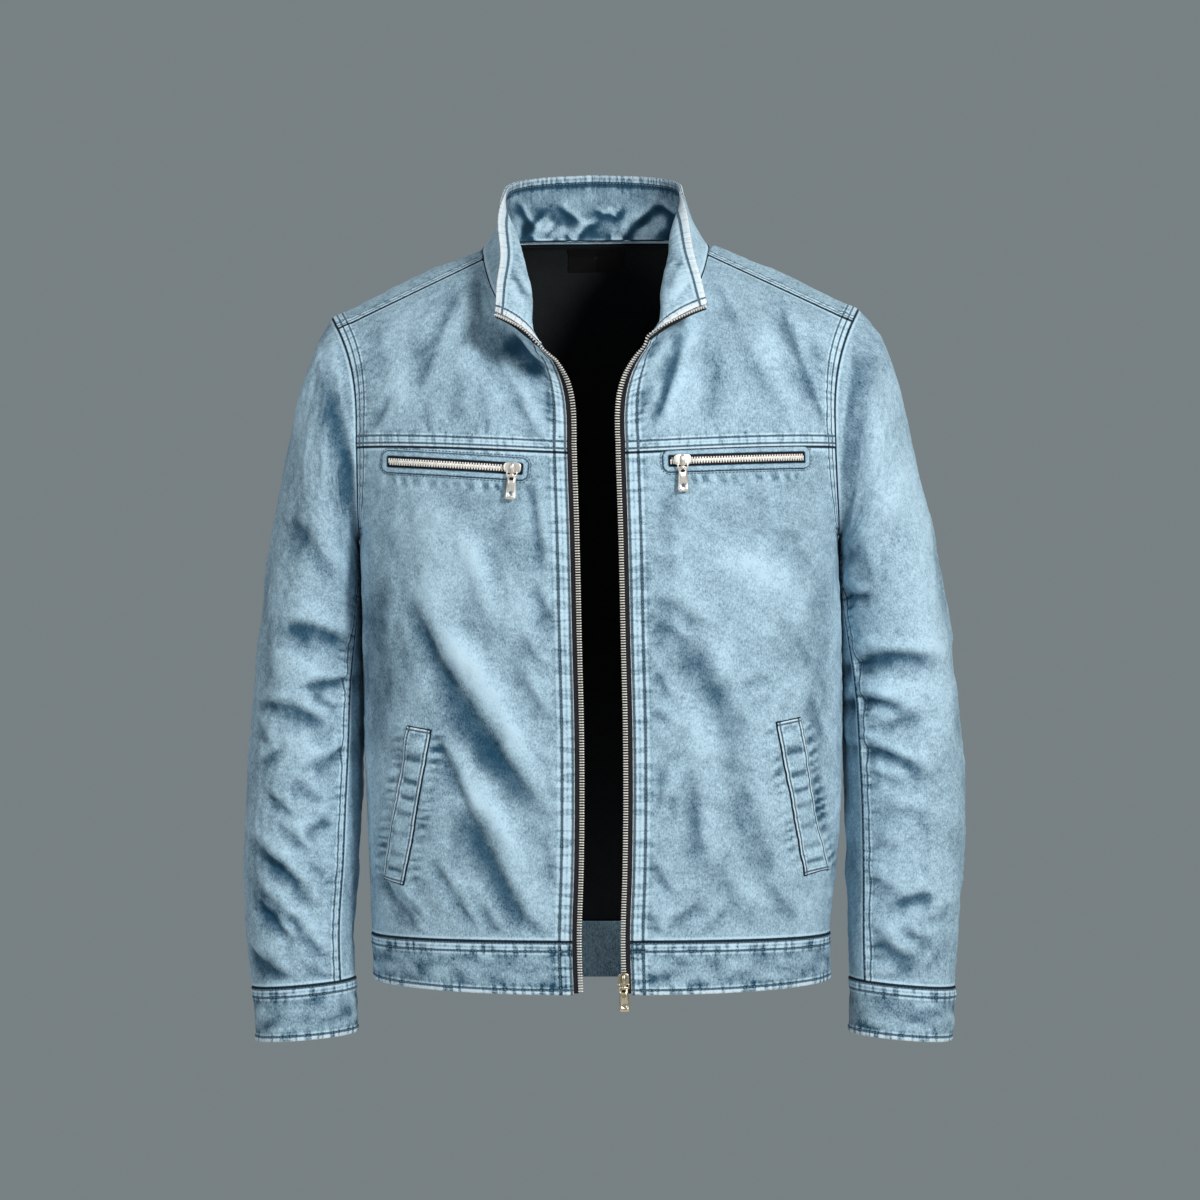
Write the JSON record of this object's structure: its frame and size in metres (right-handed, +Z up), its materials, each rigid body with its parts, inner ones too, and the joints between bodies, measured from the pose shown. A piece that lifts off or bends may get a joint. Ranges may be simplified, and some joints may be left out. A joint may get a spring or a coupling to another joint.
{
  "type": "bomber jacket",
  "caption": "Open zip-front denim jacket with a stand collar, yokes, zipped chest pockets, slanted hand pockets, buttonless cuffs and a hem band, filled out hollow as if worn.",
  "frame": {"origin": "in the middle of the neck opening, on the line of the shoulders, where the wearer carries the jacket", "axes": "+X to the wearer's left, +Y to the wearer's back, +Z up"},
  "size_m": [0.6417, 0.2664, 0.7766],
  "materials": {
    "denim": "light washed cotton denim",
    "lining": "matt black woven lining",
    "tape": "black woven tape",
    "teeth": "warm silver zip teeth",
    "nickel": "warm nickel plate",
    "brass": "pale polished brass"
  },
  "bodies": {
    "jacket": {"front_right": "denim", "front_left": "denim", "front_yoke_right": "denim", "front_yoke_left": "denim", "sleeve_top_right": "denim", "sleeve_top_left": "denim", "sleeve_under_right": "denim", "sleeve_under_left": "denim", "cuff_right": "denim", "cuff_left": "denim", "zip_tape_right": "tape", "zip_tape_left": "tape", "zip_teeth_right": "teeth", "zip_teeth_left": "teeth", "chest_welt_right": "denim", "chest_welt_left": "denim", "chest_tape_right": "tape", "chest_tape_left": "tape", "chest_teeth_right": "teeth", "chest_teeth_left": "teeth", "chest_slider_right": "nickel", "chest_slider_left": "nickel", "hand_welt_right": "denim", "hand_welt_left": "denim", "back": "denim", "hem_band": "denim", "collar_outer": "denim", "collar_inner": "denim", "lining_back": "lining", "neck_label": "tape", "zip_slider": "brass"},
    "pull_chest_right": {"chest_pull_right": "nickel"},
    "pull_chest_left": {"chest_pull_left": "nickel"},
    "pull_front": {"zip_pull": "brass"}
  },
  "joints": [
    {"name": "pull_chest_right_hinge", "type": "hinge", "parent": "jacket", "child": "pull_chest_right", "pos_m": [-0.07562, -0.13308, -0.20287], "axis": [-0.9893, 0.1296, 0.0664], "range_deg": [-5, 120]},
    {"name": "pull_chest_left_hinge", "type": "hinge", "parent": "jacket", "child": "pull_chest_left", "pos_m": [0.07096, -0.13292, -0.19598], "axis": [-0.9905, -0.1323, -0.0384], "range_deg": [-5, 120]},
    {"name": "pull_front_hinge", "type": "hinge", "parent": "jacket", "child": "pull_front", "pos_m": [0.0205, -0.12009, -0.64334], "axis": [-0.9992, -0.0309, -0.0246], "range_deg": [-5, 120]}
  ]
}
